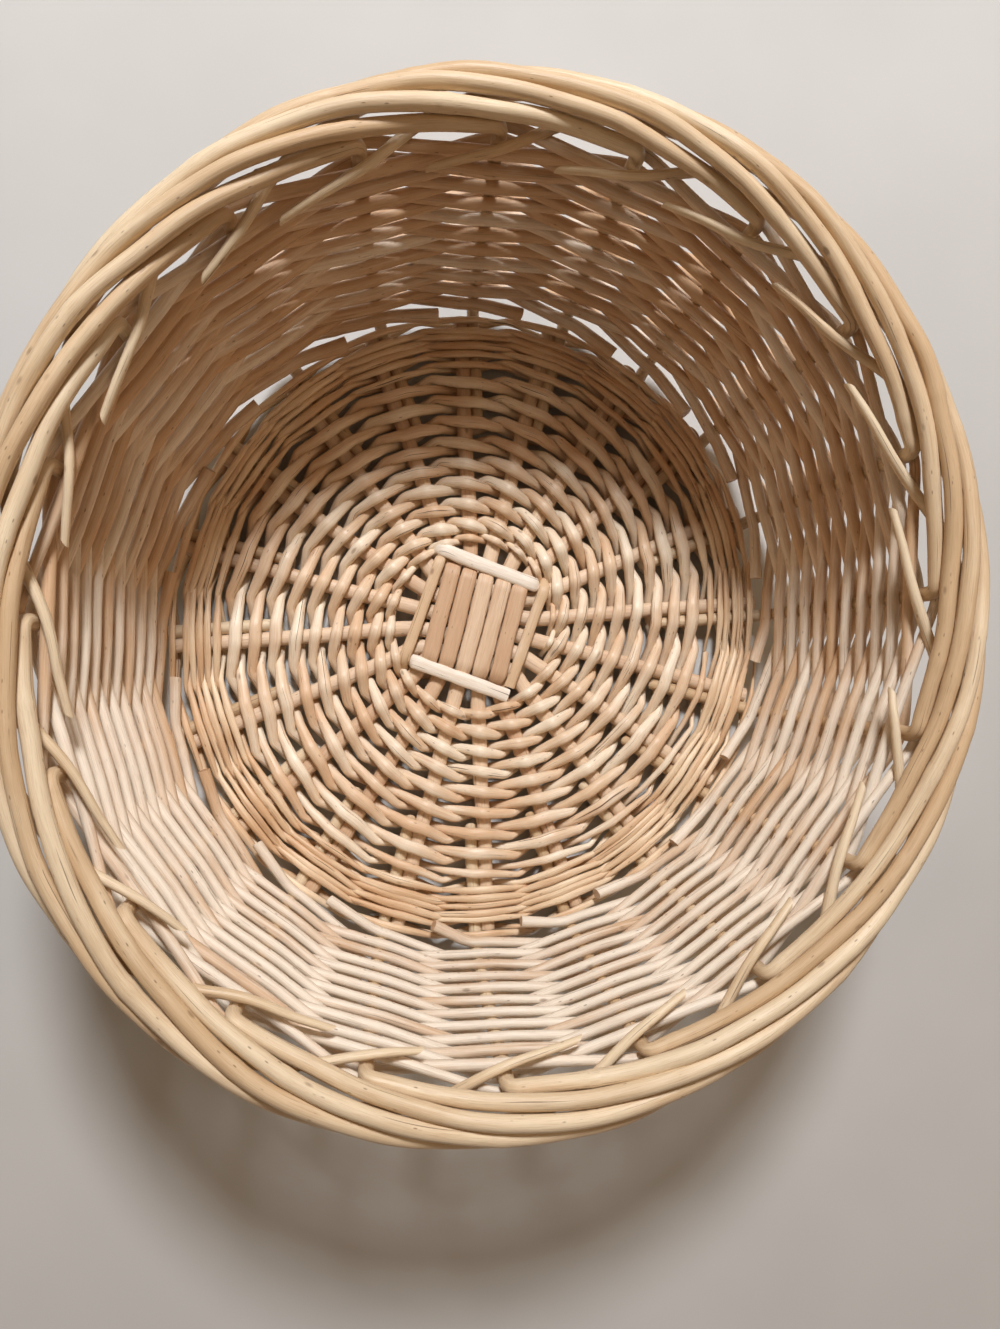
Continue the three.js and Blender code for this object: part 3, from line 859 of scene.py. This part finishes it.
def seen_rays(tree):
    """1 for the rays that show the background: from the camera, and in gloss and glass."""
    rays = tree.nodes.new("ShaderNodeLightPath")
    seen = rays.outputs["Is Camera Ray"]
    for kind in ("Is Glossy Ray", "Is Transmission Ray"):
        either = tree.nodes.new("ShaderNodeMath")
        either.operation = "MAXIMUM"
        tree.links.new(seen, either.inputs[0])
        tree.links.new(rays.outputs[kind], either.inputs[1])
        seen = either.outputs[0]
    return seen


def floor_material():
    """A plain pale floor that fades into the backdrop's colour well away from the bowl."""
    n = Nodes("pale_floor")
    place = n.add("ShaderNodeNewGeometry").outputs["Position"]
    mottle = n.noise(place, (6.0, 6.0, 6.0), detail=3.0, roughness=0.5)
    colours = [linear(colour) for colour in FLOOR_COLOURS]
    n.feed(n.shader.inputs["Base Color"], n.mix(n.ramp(mottle, low=0.3, high=0.7), *colours))
    n.shader.inputs["Roughness"].default_value = 0.9
    distance = n.add("ShaderNodeVectorMath", operation="LENGTH")
    n.feed(distance.inputs[0], place)
    far = n.ramp(distance.outputs["Value"], *FLOOR_FADE)
    glow = n.add("ShaderNodeEmission")
    glow.inputs["Color"].default_value = BACKDROP
    blend = n.add("ShaderNodeMixShader")
    n.feed(blend.inputs[0], n.times(far, seen_rays(n.tree)))
    n.feed(blend.inputs[1], n.shader.outputs["BSDF"])
    n.feed(blend.inputs[2], glow.outputs["Emission"])
    n.feed(n.tree.nodes["Material Output"].inputs["Surface"], blend.outputs[0])
    return n.material


floor_mesh = bpy.data.meshes.new("floor")
corners = [(FLOOR_REACH * x, FLOOR_REACH * y, 0) for x, y in ((-1, -1), (1, -1), (1, 1), (-1, 1))]
floor_mesh.from_pydata(corners, [], [(0, 1, 2, 3)])
floor_mesh.materials.append(floor_material())
floor = bpy.data.objects.new("floor", floor_mesh)
floor.location.z = -FLOOR_DROP
bpy.context.scene.collection.objects.link(floor)

# Camera as fitted to the rim and the base in the photograph, whose frame is 1000 by 1329
PHOTO_HEIGHT = 1329.0
FOCAL_PIXELS = 900.6
CAMERA_PLACE = Vector((-34.7, -33.9, 505.3)) * METRES
TURN_X, TURN_Y, TURN_Z = math.radians(0.18), math.radians(-6.49), math.radians(14.42)
camera_data = bpy.data.cameras.new("camera")
camera_data.sensor_fit = "VERTICAL"
camera_data.sensor_height = 36.0
camera_data.lens = camera_data.sensor_height * FOCAL_PIXELS / PHOTO_HEIGHT
camera_data.clip_start = 0.01
camera = bpy.data.objects.new("camera", camera_data)
tilt = Matrix.Rotation(TURN_X, 4, "X") @ Matrix.Rotation(TURN_Y, 4, "Y")
turned = Matrix.Rotation(TURN_Z, 4, "Z") @ tilt
camera.matrix_world = Matrix.Translation(CAMERA_PLACE) @ turned
bpy.context.scene.collection.objects.link(camera)
bpy.context.scene.camera = camera

# Lamps: a key from the top of the picture, warm fills from its sides and a low one from its foot
KEY_TILT = math.radians(39)
FILL_RISE = 0.9
FRONT_RISE = 0.1
KEY_COLOUR = (0.98, 0.98, 1.0)
FILL_COLOUR = (1.0, 0.67, 0.4)
FRONT_COLOUR = (1.0, 0.72, 0.48)
AMBIENT_COLOUR = (1.0, 0.68, 0.42, 1.0)
AMBIENT_STRENGTH = 0.06


def lamp(name, direction, distance, size, watts, colour):
    """A round soft lamp that looks at the middle of the bowl's base."""
    data = bpy.data.lights.new(name, "AREA")
    data.shape = "DISK"
    data.size = size
    data.energy = watts
    data.color = colour
    shown = bpy.data.objects.new(name, data)
    place = direction.normalized() * distance
    shown.location = place
    shown.rotation_euler = place.to_track_quat("Z", "Y").to_euler()
    bpy.context.scene.collection.objects.link(shown)


image_right = turned.to_3x3() @ Vector((1, 0, 0))
image_up = turned.to_3x3() @ Vector((0, 1, 0))
upward = Vector((0, 0, 1))
above = image_up * math.sin(KEY_TILT) + upward * math.cos(KEY_TILT)
right = upward * FILL_RISE + image_right
left = upward * FILL_RISE - image_right
front = upward * FRONT_RISE - image_up
lamp("key", above, distance=1.8, size=0.35, watts=32.0, colour=KEY_COLOUR)
lamp("fill_right", right, distance=2.0, size=1.2, watts=6.0, colour=FILL_COLOUR)
lamp("fill_left", left, distance=2.0, size=1.2, watts=4.0, colour=FILL_COLOUR)
lamp("low_front", front, distance=1.8, size=0.28, watts=1.4, colour=FRONT_COLOUR)

# Ambient light, and the pale background that only camera, glossy and transmission rays see
world = bpy.data.worlds.new("studio")
world.use_nodes = True
sky = world.node_tree
ambient = sky.nodes["Background"]
ambient.inputs["Color"].default_value = AMBIENT_COLOUR
ambient.inputs["Strength"].default_value = AMBIENT_STRENGTH
backdrop = sky.nodes.new("ShaderNodeBackground")
backdrop.inputs["Color"].default_value = BACKDROP
choice = sky.nodes.new("ShaderNodeMixShader")
sky.links.new(seen_rays(sky), choice.inputs[0])
sky.links.new(ambient.outputs[0], choice.inputs[1])
sky.links.new(backdrop.outputs[0], choice.inputs[2])
sky.links.new(choice.outputs[0], sky.nodes["World Output"].inputs["Surface"])
bpy.context.scene.world = world
bpy.context.scene.view_settings.view_transform = "Standard"
